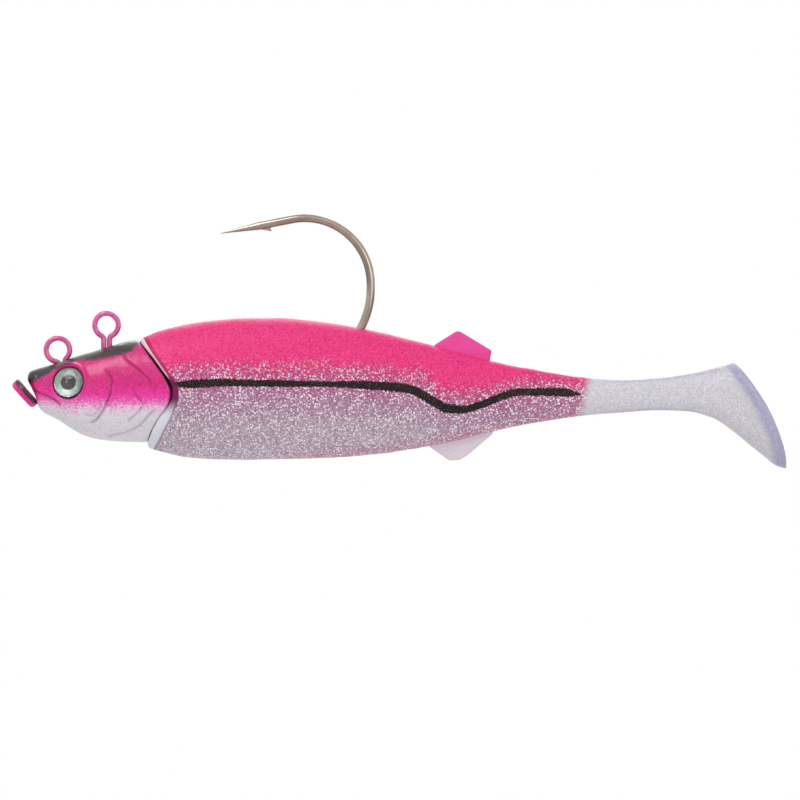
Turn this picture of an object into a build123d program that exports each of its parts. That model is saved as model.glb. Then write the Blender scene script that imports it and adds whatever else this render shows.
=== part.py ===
from build123d import *

import os
from math import asin, atan2, cos, hypot, radians, sin, sqrt, tan

# A rigged soft shad: a painted lead jig head, two wire eyelets, one large hook and a soft body.
# Millimetres. The origin is the centre of the back eyelet, +X runs along the length to the tail,
# +Z is up and -Y is the fish's left side.

os.makedirs("parts", exist_ok=True)

# ---- wires ----
EYELET_WIRE = 1.6
EYELET_RING_R = 3.4  # centre line of the ring
EYELET_NECK_R = 1.5  # bend from the ring into each leg
EYELET_LEG_GAP = 0.1
EYELET_LAND = 0.04  # depth of the worn land inside each ring
HOOK_WIRE = 2.45

# ---- head casting ----
NOSE_EYELET_X, NOSE_EYELET_Z = -14.1, -7.2
NOSE_EYELET_LEAN = 18.5  # degrees, square to the sloping forehead
LEG_LENGTH = 9.0  # both eyelets, from the ring centre to the foot
FOOT_LENGTH = 2.2
HEAD_STATIONS = (  # x, top, bottom, half width
    (-22.7, -14.0, -17.6, 1.6),
    (-21.6, -13.3, -20.6, 3.4),
    (-18.0, -12.1, -25.0, 5.6),
    (-12.0, -10.0, -28.6, 7.9),
    (-5.5, -8.0, -32.0, 9.3),
    (2.0, -5.7, -33.5, 10.1),
    (10.0, -4.2, -34.0, 10.5),
    (22.0, -3.4, -35.5, 10.8),
)
JAW_TIP = (-26.3, -16.4)  # middle of the lip's plate at its two ends
JAW_ROOT = (-19.4, -24.2)
JAW_WIDTH = 8.4
JAW_THICKNESS = 2.3
JAW_WALL = 1.0
JAW_FLOOR = 0.9

# ---- eyes ----
EYE_X, EYE_Z = -10.7, -16.8
EYE_LEAN_FORWARD, EYE_LEAN_UP = 13.0, 14.0  # degrees
EYE_Y = 7.0  # floor of the socket, from the middle plane
EYE_R = 4.4
EYE_FIT = 0.1  # round the foil and the dome
FOIL_THICKNESS = 0.3
DOME_EDGE = 0.5
DOME_HEIGHT = 1.5

# ---- keeper and hook ----
SHANK_Z = -9.3
KEEPER_START_X, KEEPER_END_X = 12.0, 46.0
KEEPER_R, KEEPER_BARB_R = 3.4, 4.7
KEEPER_BARB_LENGTH = 6.0
KEEPER_BARB_XS = (26.0, 36.0)
SHANK_START_X = 11.0
BURIED_BEND_R, BURIED_BEND_TURN = 6.0, 50.0
BURIED_RUN = 2.0
BURIED_EYE_R = 3.0
HOOK_LOW_R, HOOK_MID_R, HOOK_TOP_R = 15.9, 24.0, 19.14
HOOK_BACK_X = 76.6  # rearmost point of the bend's centre line
HOOK_MID_Z, HOOK_TOP_Z = 10.5, 11.86  # straight stretch between the two upper arcs
HOOK_OVER_TOP = 11.0  # degrees turned past level, to where the point starts
POINT_RUN = 21.0
POINT_TAPER = 11.5
POINT_TIP = 0.3
BARB_FROM_TIP = 14.0
BARB_LENGTH = 5.5
BARB_RISE = 1.1

# ---- seam between head and body, seen from the side ----
SEAM_TOP = (8.6, 4.0)
SEAM_UPPER = (13.4, -9.9)
SEAM_APEX = (19.6, -20.0)
SEAM_LOWER = (17.4, -27.0)
SEAM_FOOT = (10.8, -36.0)
SEAM_MARGIN = 20.0

# ---- soft body ----
BODY_STATIONS = (  # x, top, bottom, half width
    (8.0, -4.2, -35.0, 10.9),
    (15.5, -1.5, -36.8, 11.3),
    (26.0, 1.0, -38.7, 11.7),
    (42.0, 2.2, -39.2, 11.9),
    (58.0, 1.6, -38.7, 11.4),
    (75.0, -1.0, -37.8, 9.9),
    (91.0, -5.1, -35.7, 7.8),
    (106.0, -9.0, -32.4, 6.0),
    (121.0, -12.4, -28.9, 4.5),
    (136.0, -14.9, -26.7, 3.5),
    (150.0, -16.2, -25.5, 3.0),
)
TAIL_SECTIONS = (  # upper point, lower point, half width, each section leaning further back
    ((162.0, -15.3), (163.5, -24.8), 2.9),
    ((170.0, -13.9), (174.5, -26.4), 3.7),
    ((176.5, -12.3), (185.0, -33.2), 6.0),
    ((180.8, -11.2), (193.0, -41.0), 10.6),
    ((184.5, -9.8), (199.5, -43.0), 11.8),
)
PADDLE_TOP = (182.0, -10.6)  # rear face of the paddle, bowed backwards
PADDLE_MIDDLE = (192.1, -25.9)
PADDLE_FOOT = (197.6, -43.0)
DORSAL_FIN = ((94.0, -8.0), (101.9, -1.9), (111.5, -7.6), (111.9, -13.0))
ANAL_FIN = ((93.5, -33.0), (99.2, -38.9), (102.4, -39.5), (111.4, -33.0), (110.0, -28.0))
FIN_THICKNESS = 1.6

# ---- living hinges of the soft body ----
HINGE_XS = (88.0, 124.0, 158.0)
HINGE_SWINGS = (15.0, 30.0, 40.0)  # degrees each way
HINGE_GAP = 0.3
RIM_CLEARANCE = 0.4


def side_plane(x, z, y=0.0):
    """A plane at a point, with its x axis along +X, its y axis along +Z and its normal along -Y."""
    return Plane(origin=(x, y, z), x_dir=(1, 0, 0), z_dir=(0, -1, 0))


def side_point(x, z):
    return Vector(x, 0, z)


def oval(upper, lower, half_width):
    """An upright elliptic section between two points of the side view."""
    rise = Vector(upper[0] - lower[0], 0, upper[1] - lower[1])
    middle = ((upper[0] + lower[0]) / 2, 0, (upper[1] + lower[1]) / 2)
    plane = Plane(origin=middle, x_dir=rise, z_dir=Vector(0, 1, 0).cross(rise))
    return plane * Ellipse(rise.length / 2, half_width)


def station_ovals(stations):
    return [oval((x, top), (x, bottom), width) for x, top, bottom, width in stations]


def slab(points, thickness):
    """A flat plate in the middle plane with the given outline."""
    outline = make_face(Polyline(*[side_point(*p) for p in points], close=True))
    return extrude(outline, thickness / 2, dir=(0, 1, 0), both=True)


def wire_sweep(path, start, heading, diameter):
    section = Plane(origin=start, z_dir=heading) * Circle(diameter / 2)
    return sweep(section, path=path)


# ---- eyelets ----


def eyelet():
    """A ring of bent wire with two legs side by side and outward feet, its centre at the origin."""
    leg_x = (EYELET_WIRE + EYELET_LEG_GAP) / 2
    bend_x = leg_x + EYELET_NECK_R
    bend_z = -sqrt((EYELET_RING_R + EYELET_NECK_R) ** 2 - bend_x**2)
    share = EYELET_RING_R / (EYELET_RING_R + EYELET_NECK_R)
    join_x, join_z = bend_x * share, bend_z * share
    neck_angle = atan2(join_z - bend_z, join_x - bend_x)
    neck_mid = (neck_angle + radians(180)) / 2
    neck_x = bend_x + EYELET_NECK_R * cos(neck_mid)
    neck_z = bend_z + EYELET_NECK_R * sin(neck_mid)
    foot_r = EYELET_WIRE
    foot_x = leg_x + foot_r + FOOT_LENGTH

    def half(side):
        """Path pieces of one leg, from its foot up to the ring."""
        foot = Line(side_point(side * foot_x, -LEG_LENGTH), side_point(side * (leg_x + foot_r), -LEG_LENGTH))
        corner_x = side * (leg_x + foot_r * (1 - cos(radians(45))))
        corner_z = -LEG_LENGTH + foot_r * (1 - sin(radians(45)))
        corner = ThreePointArc(
            side_point(side * (leg_x + foot_r), -LEG_LENGTH),
            side_point(corner_x, corner_z),
            side_point(side * leg_x, -LEG_LENGTH + foot_r),
        )
        leg = Line(side_point(side * leg_x, -LEG_LENGTH + foot_r), side_point(side * leg_x, bend_z))
        neck = ThreePointArc(
            side_point(side * leg_x, bend_z),
            side_point(side * neck_x, neck_z),
            side_point(side * join_x, join_z),
        )
        return [foot, corner, leg, neck]

    ring = ThreePointArc(
        side_point(join_x, join_z), side_point(0, EYELET_RING_R), side_point(-join_x, join_z)
    )
    path = Wire(half(1) + [ring] + half(-1))
    body = wire_sweep(path, side_point(foot_x, -LEG_LENGTH), (-1, 0, 0), EYELET_WIRE)
    land = side_plane(0, 0) * Cylinder(EYELET_RING_R - EYELET_WIRE / 2 + EYELET_LAND, EYELET_WIRE * 2)
    return body - land


def back_eyelet():
    return eyelet()


def nose_eyelet():
    return Pos(NOSE_EYELET_X, 0, NOSE_EYELET_Z) * Rot(0, -NOSE_EYELET_LEAN, 0) * eyelet()


# ---- hook ----


def hook_low_start():
    """Angle, from upright, of the wire where the low arc meets the middle arc, and that point."""
    lean = asin((HOOK_LOW_R - (HOOK_MID_Z - SHANK_Z)) / (HOOK_LOW_R - HOOK_MID_R))
    x = HOOK_BACK_X - HOOK_MID_R * (1 - cos(lean))
    z = HOOK_MID_Z - HOOK_MID_R * sin(lean)
    return lean, x, z


def hook_path():
    """The centre line from the buried run to the start of the point, with its last heading."""
    lean, low_x, low_z = hook_low_start()
    shank_end = low_x - HOOK_LOW_R * cos(lean)
    low_mid = (radians(90) + lean) / 2
    turn = radians(BURIED_BEND_TURN)
    bend_x = SHANK_START_X - BURIED_BEND_R * sin(turn)
    bend_z = SHANK_Z - BURIED_BEND_R * (1 - cos(turn))
    start_x = bend_x - BURIED_RUN * cos(turn)
    start_z = bend_z - BURIED_RUN * sin(turn)
    over = radians(HOOK_OVER_TOP)
    top_x = HOOK_BACK_X - HOOK_TOP_R
    top_mid = (radians(90) + over) / 2
    point_x = top_x - HOOK_TOP_R * sin(over)
    point_z = HOOK_TOP_Z + HOOK_TOP_R * cos(over)
    taper_x = point_x - (POINT_RUN - POINT_TAPER) * cos(over)
    taper_z = point_z - (POINT_RUN - POINT_TAPER) * sin(over)
    start = side_point(start_x, start_z)
    pieces = [
        Line(start, side_point(bend_x, bend_z)),
        ThreePointArc(
            side_point(bend_x, bend_z),
            side_point(
                SHANK_START_X - BURIED_BEND_R * sin(turn / 2),
                SHANK_Z - BURIED_BEND_R * (1 - cos(turn / 2)),
            ),
            side_point(SHANK_START_X, SHANK_Z),
        ),
        Line(side_point(SHANK_START_X, SHANK_Z), side_point(shank_end, SHANK_Z)),
        ThreePointArc(
            side_point(shank_end, SHANK_Z),
            side_point(
                shank_end + HOOK_LOW_R * cos(low_mid), SHANK_Z + HOOK_LOW_R * (1 - sin(low_mid))
            ),
            side_point(low_x, low_z),
        ),
        ThreePointArc(
            side_point(low_x, low_z),
            side_point(
                HOOK_BACK_X - HOOK_MID_R * (1 - cos(lean / 2)), HOOK_MID_Z - HOOK_MID_R * sin(lean / 2)
            ),
            side_point(HOOK_BACK_X, HOOK_MID_Z),
        ),
        Line(side_point(HOOK_BACK_X, HOOK_MID_Z), side_point(HOOK_BACK_X, HOOK_TOP_Z)),
        ThreePointArc(
            side_point(HOOK_BACK_X, HOOK_TOP_Z),
            side_point(top_x + HOOK_TOP_R * cos(top_mid), HOOK_TOP_Z + HOOK_TOP_R * sin(top_mid)),
            side_point(point_x, point_z),
        ),
        Line(side_point(point_x, point_z), side_point(taper_x, taper_z)),
    ]
    heading = Vector(-cos(over), 0, -sin(over))
    return start, Vector(cos(turn), 0, sin(turn)), Wire(pieces), side_point(taper_x, taper_z), heading


def hook_point(base, heading):
    """The tapered point and its barb on the underside."""
    frame = Plane(origin=base, z_dir=heading, x_dir=Vector(0, 1, 0))
    cone = frame * extrude_cone(HOOK_WIRE / 2, POINT_TIP / 2, POINT_TAPER)
    tip = base + heading * POINT_TAPER
    down = Vector(0, -1, 0).cross(heading)
    barb_root = tip - heading * BARB_FROM_TIP
    barb = Polyline(
        barb_root + heading * BARB_LENGTH,
        barb_root,
        barb_root + down * (HOOK_WIRE / 2 + BARB_RISE) - heading * 0.6,
        close=True,
    )
    return cone + extrude(make_face(barb), 0.5, dir=(0, 1, 0), both=True)


def extrude_cone(base_r, tip_r, length):
    return loft([Circle(base_r), Pos(0, 0, length) * Circle(tip_r)])


def jig_hook():
    start, start_heading, path, base, heading = hook_path()
    rod = wire_sweep(path, start, start_heading, HOOK_WIRE)
    eye_centre = start - start_heading * (BURIED_EYE_R + HOOK_WIRE / 4)
    eye = side_plane(eye_centre.X, eye_centre.Z) * Torus(BURIED_EYE_R, HOOK_WIRE / 2)
    return rod + eye + hook_point(base, heading)


# ---- eyes ----


def eye_plane(side):
    """Floor of one eye socket, its normal pointing out of the head; side is -1 on the left."""
    lean_x = -tan(radians(EYE_LEAN_FORWARD))
    lean_z = tan(radians(EYE_LEAN_UP))
    return Plane(origin=(EYE_X, side * EYE_Y, EYE_Z), z_dir=(lean_x, side, lean_z))


def eye_foil(side):
    floor = eye_plane(side)
    return floor * (Pos(0, 0, FOIL_THICKNESS / 2) * Cylinder(EYE_R, FOIL_THICKNESS))


def eye_dome(side):
    """A clear lens: a short straight edge and a spherical cap."""
    cap = DOME_HEIGHT - DOME_EDGE
    sphere_r = (EYE_R**2 + cap**2) / (2 * cap)
    edge = Cylinder(EYE_R, DOME_HEIGHT, align=(Align.CENTER, Align.CENTER, Align.MIN))
    ball = Pos(0, 0, DOME_HEIGHT - sphere_r) * Sphere(sphere_r)
    return eye_plane(side) * (Pos(0, 0, FOIL_THICKNESS) * (edge & ball))


def eye_socket(side):
    """Room for one eye, open outwards."""
    return eye_plane(side) * Cylinder(EYE_R + EYE_FIT, 8, align=(Align.CENTER, Align.CENTER, Align.MIN))


# ---- head casting ----


def seam_face():
    """Everything ahead of the seam, as a side-view outline."""
    edge = [
        Line(side_point(*SEAM_TOP), side_point(*SEAM_UPPER)),
        Spline(
            side_point(*SEAM_UPPER),
            side_point(*SEAM_APEX),
            side_point(*SEAM_LOWER),
            tangents=[
                side_point(SEAM_UPPER[0] - SEAM_TOP[0], SEAM_UPPER[1] - SEAM_TOP[1]),
                side_point(SEAM_FOOT[0] - SEAM_LOWER[0], SEAM_FOOT[1] - SEAM_LOWER[1]),
            ],
        ),
        Line(side_point(*SEAM_LOWER), side_point(*SEAM_FOOT)),
    ]
    front = HEAD_STATIONS[0][0] - SEAM_MARGIN
    low = SEAM_FOOT[1] - SEAM_MARGIN
    high = SEAM_TOP[1] + SEAM_MARGIN
    back = Polyline(
        side_point(*SEAM_FOOT),
        side_point(SEAM_FOOT[0], low),
        side_point(front, low),
        side_point(front, high),
        side_point(SEAM_TOP[0], high),
        side_point(*SEAM_TOP),
    )
    return make_face(edge + [back])


def ahead_of_seam():
    return extrude(seam_face(), SEAM_MARGIN, dir=(0, 1, 0), both=True)


def lower_jaw():
    """A dished plate that stands out below the snout, hollow towards it."""
    length = hypot(JAW_ROOT[0] - JAW_TIP[0], JAW_ROOT[1] - JAW_TIP[1])
    along = Vector(JAW_ROOT[0] - JAW_TIP[0], 0, JAW_ROOT[1] - JAW_TIP[1])
    middle = ((JAW_TIP[0] + JAW_ROOT[0]) / 2, 0, (JAW_TIP[1] + JAW_ROOT[1]) / 2)
    plate = Plane(origin=middle, x_dir=along, z_dir=along.cross(Vector(0, -1, 0)))
    outer = extrude(Ellipse(length / 2, JAW_WIDTH / 2), JAW_THICKNESS / 2, both=True)
    inner = Ellipse(length / 2 - JAW_WALL, JAW_WIDTH / 2 - JAW_WALL)
    hollow = Pos(0, 0, JAW_FLOOR - JAW_THICKNESS / 2) * extrude(inner, JAW_THICKNESS)
    return plate * outer, plate * hollow


def keeper():
    """The barbed collar cast round the shank, which the soft body is pushed over."""
    length = KEEPER_END_X - KEEPER_START_X
    collar = Pos(KEEPER_START_X + length / 2, 0, SHANK_Z) * Rot(0, 90, 0) * Cylinder(KEEPER_R, length)
    for x in KEEPER_BARB_XS:
        barb = Pos(x, 0, SHANK_Z) * Rot(0, 90, 0) * Cone(
            KEEPER_BARB_R, KEEPER_R, KEEPER_BARB_LENGTH, align=(Align.CENTER, Align.CENTER, Align.MIN)
        )
        collar += barb
    return collar


def head_casting(buried):
    """The casting, with the buried wires and the eye sockets cut out of it."""
    head = loft(station_ovals(HEAD_STATIONS)) & ahead_of_seam()
    plate, hollow = lower_jaw()
    head = (head + plate) - hollow
    head += keeper()
    for side in (-1, 1):
        head -= eye_socket(side)
    for piece in buried:
        head -= piece
    return head


# ---- soft body ----


def soft_body():
    """The whole moulding before it is divided, with its fins."""
    tail = [oval(upper, lower, width) for upper, lower, width in TAIL_SECTIONS]
    body = loft(station_ovals(BODY_STATIONS) + tail)
    behind = make_face(
        [
            ThreePointArc(side_point(*PADDLE_TOP), side_point(*PADDLE_MIDDLE), side_point(*PADDLE_FOOT)),
            Polyline(
                side_point(*PADDLE_FOOT),
                side_point(PADDLE_FOOT[0], PADDLE_FOOT[1] - SEAM_MARGIN),
                side_point(PADDLE_FOOT[0] + SEAM_MARGIN, PADDLE_FOOT[1] - SEAM_MARGIN),
                side_point(PADDLE_FOOT[0] + SEAM_MARGIN, PADDLE_TOP[1] + SEAM_MARGIN),
                side_point(PADDLE_TOP[0] - 2, PADDLE_TOP[1] + SEAM_MARGIN),
                side_point(*PADDLE_TOP),
            ),
        ]
    )
    body -= extrude(behind, SEAM_MARGIN, dir=(0, 1, 0), both=True)
    body += slab(DORSAL_FIN, FIN_THICKNESS)
    body += slab(ANAL_FIN, FIN_THICKNESS)
    return body


def station_width(x):
    """Half width of the body at a hinge, between its stations."""
    stations = [(s[0], s[3]) for s in BODY_STATIONS] + [(s[0][0], s[2]) for s in TAIL_SECTIONS]
    for (x0, w0), (x1, w1) in zip(stations, stations[1:]):
        if x0 <= x <= x1:
            return w0 + (w1 - w0) * (x - x0) / (x1 - x0)
    raise ValueError(f"no body section at {x}")


def span(x0, x1):
    """A block that holds everything between two places along the length."""
    size = 4 * SEAM_MARGIN
    return Pos((x0 + x1) / 2, 0, SHANK_Z) * Box(x1 - x0, size, size)


def knuckle(x, extra):
    """An upright round post at a hinge, a little larger where a socket is wanted."""
    return Pos(x, 0, SHANK_Z) * Cylinder(station_width(x) + extra, 4 * SEAM_MARGIN)


def body_segments(whole):
    """The moulding divided at its hinges: each rear piece has a round front end in a round socket."""
    first, last = BODY_STATIONS[0][0] - 1, PADDLE_FOOT[0] + 5
    segments = []
    for i in range(len(HINGE_XS) + 1):
        start = HINGE_XS[i - 1] if i else first
        keep = span(start, last)
        if i:
            keep = keep + knuckle(start, 0)
        segment = whole & keep
        if i < len(HINGE_XS):
            hinge = HINGE_XS[i]
            rim = hinge - station_width(hinge) * tan(radians(HINGE_SWINGS[i] / 2)) - RIM_CLEARANCE
            segment = segment - span(rim, last) - knuckle(hinge, HINGE_GAP)
        segments.append(segment)
    return segments


def build():
    hook = jig_hook()
    nose_ring, back_ring = nose_eyelet(), back_eyelet()
    head = head_casting([hook, nose_ring, back_ring])
    front, rear, stem, paddle = body_segments(soft_body() - ahead_of_seam())
    front = front - keeper() - hook
    nodes = {
        "head_casting": head,
        "jig_hook": hook,
        "nose_eyelet": nose_ring,
        "back_eyelet": back_ring,
        "front_body": front,
        "rear_body": rear,
        "tail_stem": stem,
        "tail_paddle": paddle,
    }
    for side, word in ((-1, "left"), (1, "right")):
        nodes[f"eye_foil_{word}"] = eye_foil(side)
        nodes[f"eye_dome_{word}"] = eye_dome(side)
    for name, shape in nodes.items():
        export_step(shape, f"parts/{name}.step")


build()
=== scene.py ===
from math import cos, pi, radians, sin, tan

import bpy
import numpy as np
from bpy.props import FloatProperty, FloatVectorProperty, PointerProperty
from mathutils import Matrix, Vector, noise


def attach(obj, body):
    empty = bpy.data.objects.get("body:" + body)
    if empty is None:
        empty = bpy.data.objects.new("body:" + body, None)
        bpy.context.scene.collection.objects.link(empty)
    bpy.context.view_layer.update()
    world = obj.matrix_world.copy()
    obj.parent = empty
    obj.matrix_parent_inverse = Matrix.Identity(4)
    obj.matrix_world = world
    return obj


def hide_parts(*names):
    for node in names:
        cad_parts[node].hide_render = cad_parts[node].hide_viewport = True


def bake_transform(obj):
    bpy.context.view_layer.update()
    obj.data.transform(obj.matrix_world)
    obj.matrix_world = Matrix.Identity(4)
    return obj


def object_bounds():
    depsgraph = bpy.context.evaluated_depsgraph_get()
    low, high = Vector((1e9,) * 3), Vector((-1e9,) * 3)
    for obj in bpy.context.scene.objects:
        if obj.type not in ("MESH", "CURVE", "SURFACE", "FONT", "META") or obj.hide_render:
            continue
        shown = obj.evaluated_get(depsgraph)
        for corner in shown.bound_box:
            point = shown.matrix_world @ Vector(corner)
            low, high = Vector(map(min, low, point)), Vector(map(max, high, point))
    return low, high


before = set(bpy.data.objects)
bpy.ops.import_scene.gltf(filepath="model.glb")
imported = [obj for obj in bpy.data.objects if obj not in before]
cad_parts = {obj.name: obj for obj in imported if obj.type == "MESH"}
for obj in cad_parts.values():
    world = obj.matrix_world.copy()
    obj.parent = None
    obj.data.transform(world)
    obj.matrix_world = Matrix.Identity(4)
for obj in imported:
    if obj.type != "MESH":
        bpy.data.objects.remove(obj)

bl_info = {
    "name": "Rigged soft shad",
    "version": (1, 0, 0),
    "blender": (4, 5, 0),
    "location": "View3D > Sidebar > Shad",
    "description": "Builds the painted head, eyes, wires and soft body of a rigged sea shad",
    "category": "Add Mesh",
}

MM = 0.001
CAD_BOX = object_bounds()
ROOT = "head_and_front_body"

# ---------------------------------------------------------------- shapes, in millimetres

# The head from snout to seam: place along it, top, bottom, half width.
HEAD_TOP = ((-22.75, -14.5), (-22.35, -13.7), (-21, -13.05), (-16.2, -11.6), (-8.8, -9.15), (-1.4, -6.95),
            (4.4, -5.15), (7.6, -4.45), (11, -4.2), (22, -3.6))
HEAD_BOTTOM = ((-22.75, -16.2), (-22.3, -17.2), (-21.6, -18.5), (-20.6, -20.8), (-20.1, -22.7),
               (-19.4, -24.1), (-18.2, -25.3), (-16, -26.5), (-13.2, -28), (-10.4, -29.9), (-7.6, -31.5),
               (-4.8, -32.6), (-1.5, -33.3), (4, -33.8), (10, -34), (22, -34.6))
HEAD_WIDTH = ((-22.75, 1.7), (-22.35, 2.6), (-21, 3.9), (-19, 5.2), (-16, 6.5), (-12, 7.8), (-8, 8.8),
              (-3, 9.6), (3, 10.1), (10, 10.5), (22, 10.9))
# The seam, by height: where the head's painted side ends, how far its edge rounds over, and where the
# body's glitter starts.
HEAD_EDGE = ((-35, 11), (-33.4, 11.6), (-31, 12.5), (-27.4, 14.4), (-23.8, 16.8), (-21.2, 17.8),
             (-19, 17.9), (-17.6, 17.5), (-15.4, 16.4), (-11.5, 13.8), (-6.8, 10.4), (-4.6, 8.8), (0, 5.8))
HEAD_ROUNDING = ((-35, 0.7), (-24, 0.9), (-20.5, 1.0), (-17.5, 1.2), (-13, 1.2), (-3, 1.2))
BODY_EDGE = ((-37, 12.9), (-35.5, 13.5), (-33.9, 14.5), (-30.9, 16.1), (-28.1, 17.6), (-25.6, 18.8),
             (-21.3, 20.2), (-19, 20.3), (-17.6, 19.9), (-15, 18.3), (-11.8, 16.1), (-7.8, 13.3),
             (-4.8, 11.5), (0, 8.6))
SEAM_GAP = 0.35

# The soft body: place along it, lean, top, bottom, half width, bow to the rear.
BODY = (
    (9, 0, -4.4, -34.4, 10.7, 0), (15.5, 0, -1.7, -36.6, 11.2, 0), (24, 0, 0.3, -38.4, 11.6, 0),
    (38.7, 0, 1.9, -39.1, 11.8, 0), (50, 0, 2.0, -38.9, 11.6, 0), (62, 0, 0.9, -38.6, 11, 0),
    (75, 0, -1.2, -37.8, 9.8, 0), (88, 0, -4.2, -36.1, 8.1, 0), (101, 0, -7.6, -33.6, 6.5, 0),
    (114, 0, -11, -30.4, 5.1, 0), (127, 0, -13.5, -27.9, 4.1, 0), (137.3, 0, -15.1, -26.4, 3.5, 0),
    (149, 0, -15.9, -25.4, 3, 0), (160, 0, -15.4, -24.75, 2.9, 0), (168, 0.6, -14.4, -25.0, 3.3, 0.1),
    (174, 1.6, -13.4, -26.9, 4.2, 0.4), (179, 2.7, -12.5, -30.8, 5.9, 1.0),
    (183.3, 4.3, -11.8, -35.6, 8.3, 1.9), (185.7, 5.6, -11.4, -38.6, 10.3, 2.5),
    (187.1, 6.5, -11.2, -40.5, 11.5, 2.8),
    (188.3, 7.1, -11.0, -41.3, 11.85, 2.85), (189.4, 7.5, -10.9, -41.6, 11.8, 2.8),
)
BODY_SQUARENESS = 2.2
BELLY_NARROWING = 0.07
BODY_LEVEL_X = 45.0  # behind this the sections no longer follow the seam
LIP_INSET = 1.3
# The paddle's rear face: share of its outline's size, how far it stands out.
REAR_FACE = ((0.985, 0.18), (0.96, 0.3), (0.9, 0.36), (0.75, 0.3), (0.5, 0.2), (0.25, 0.15), (0.03, 0.15))
PIECE_ENDS = (112.6, 141.0)  # where the moulding is divided, between its hinges

# The black line along the side: place along, height, half thickness.
SIDE_LINE = (
    (20, -17.2, 0.5), (22.5, -17.2, 0.95), (27.5, -17.0, 1.25), (33.5, -16.75, 1.1), (51, -17.0, 1.0),
    (65, -17.15, 0.85), (72, -17.35, 1.15), (82.3, -17.85, 1.3), (88.2, -18.7, 1.3), (94.2, -21.9, 1.3),
    (98.9, -24.2, 1.35), (103.1, -24.5, 1.15), (109, -23, 1.1), (115, -20.6, 1.1), (119.1, -19.5, 1.1),
    (126.8, -19.4, 1.15), (132.8, -19.55, 1.25), (135, -19.8, 0.9), (137.4, -20.1, 0.15),
)

# Fins in side view: outline points, of which the first and the last two lie inside the body.
DORSAL_FIN = ((93.6, -7.6), (95.2, -5.7), (101.9, -1.5), (111.7, -7.4), (111.2, -9.9), (112.0, -12.6),
              (103, -10.5))
ANAL_FIN = ((92.8, -34), (93.6, -35.3), (99.4, -39.3), (102.4, -39.1), (104.5, -37.9), (112.2, -31.4),
            (111.0, -28.8), (102, -31))

# The dark strip along the head's back: place along, depth below the top.
BACK_STRIP = ((-22.8, 3.6), (-18, 2.7), (-14, 1.7), (-8, 1.3), (-4, 2.5), (0, 3.0), (4, 3.4), (7, 3.2),
              (9.5, 1.2), (12, 0.6))

# Relief lines cast into the cheek, in side view.
GILL_COVER = ((-0.6, -12.7), (1.6, -15.7), (1.4, -19.4), (0.2, -22.9), (-1.6, -26), (-3.2, -27.8),
              (-5.4, -28.6))
GILL_INNER = ((-0.9, -22.6), (-2.4, -25.2), (-4.2, -26.4), (-6.6, -25.9))
FIN_CHEVRON_TOP = ((8.2, -19.3), (9.4, -21), (11.3, -22.9))
FIN_CHEVRON_FOOT = ((11.4, -23.1), (9.2, -25.6), (6.2, -28.1))
SHOULDER_LINE = ((4.6, -7.4), (6.2, -10.3), (9.7, -13.1), (12.3, -15.7), (13.1, -18.2))
THROAT_LINE = ((-0.8, -32.8), (2.4, -31.8), (6.1, -30.9), (9.7, -29), (12.6, -26), (14.9, -23.9))
JAW_LINE = ((-21.6, -18.6), (-17.8, -20.3), (-14.4, -21.9), (-12.9, -23.4))

EYE_CENTRE = (-10.65, -16.8)
EYE_DEPTH = 7.0
EYE_LEAN_FORWARD, EYE_LEAN_UP = radians(13), radians(14)
EYE_R = 4.4

JAW_CENTRE = (-23.65, -19.9)
JAW_ALONG = (0.667, -0.745)
JAW_HALF_LENGTH, JAW_HALF_WIDTH = 4.6, 4.1
JAW_THICKNESS = 2.9
# The lip in section: share of the outline's size, share of half the thickness, how dark the paint is: black
# over the upper wall and in the hollow, and lighter along the rim's top as a painted highlight.
JAW_PROFILE = (
    (0.02, -1, 0), (0.55, -1, 0), (0.8, -0.97, 0), (0.9, -0.88, 0), (0.96, -0.7, 0), (0.99, -0.45, 0),
    (1.0, -0.15, 0.1), (1.0, 0.1, 0.7), (1.0, 0.4, 1), (0.99, 0.66, 1), (0.97, 0.86, 0.75),
    (0.94, 0.97, 0.5), (0.91, 1, 0.5), (0.88, 0.95, 0.9), (0.85, 0.75, 1), (0.82, 0.3, 1), (0.76, -0.1, 1),
    (0.55, -0.3, 1), (0.3, -0.36, 1), (0.02, -0.38, 1),
)

KEEPER_Z = -9.3
KEEPER_PROFILE = ((16, 3.4), (25.9, 3.4), (26, 4.7), (32, 3.4), (35.9, 3.4), (36, 4.7), (42, 3.4),
                  (46, 3.2), (46, 1.3))

# The camera stands square to the fish's left side, far off with a long lens.
CAMERA_LENS, CAMERA_SENSOR = 400, 36
VIEW_WIDTH = 0.232
VIEW_CENTRE = (0.0851, -0.02175)  # along and up


# ---------------------------------------------------------------- settings


def length_property(name, text, default, **limits):
    return FloatProperty(name=name, description=text, default=default, unit="LENGTH", **limits)


class ShadSizes(bpy.types.PropertyGroup):
    head_detail: length_property("Head detail", "Spacing of the head's mesh", 0.21 * MM, min=0.1 * MM)
    body_detail: length_property("Body detail", "Spacing of the soft body's rings", 0.62 * MM, min=0.3 * MM)
    relief: length_property("Relief", "Depth of the lines cast into the cheek", 0.42 * MM)
    flake: length_property("Glitter flake", "Spacing of the large glitter flakes", 0.62 * MM, min=0.1 * MM)
    floor_drop: length_property("Floor drop", "From the lowest point down to the floor", 118 * MM)


def colour_property(name, text, red, green, blue):
    return FloatVectorProperty(name=name, description=text, subtype="COLOR", size=3, min=0, max=1,
                               default=(red / 255, green / 255, blue / 255))


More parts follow.
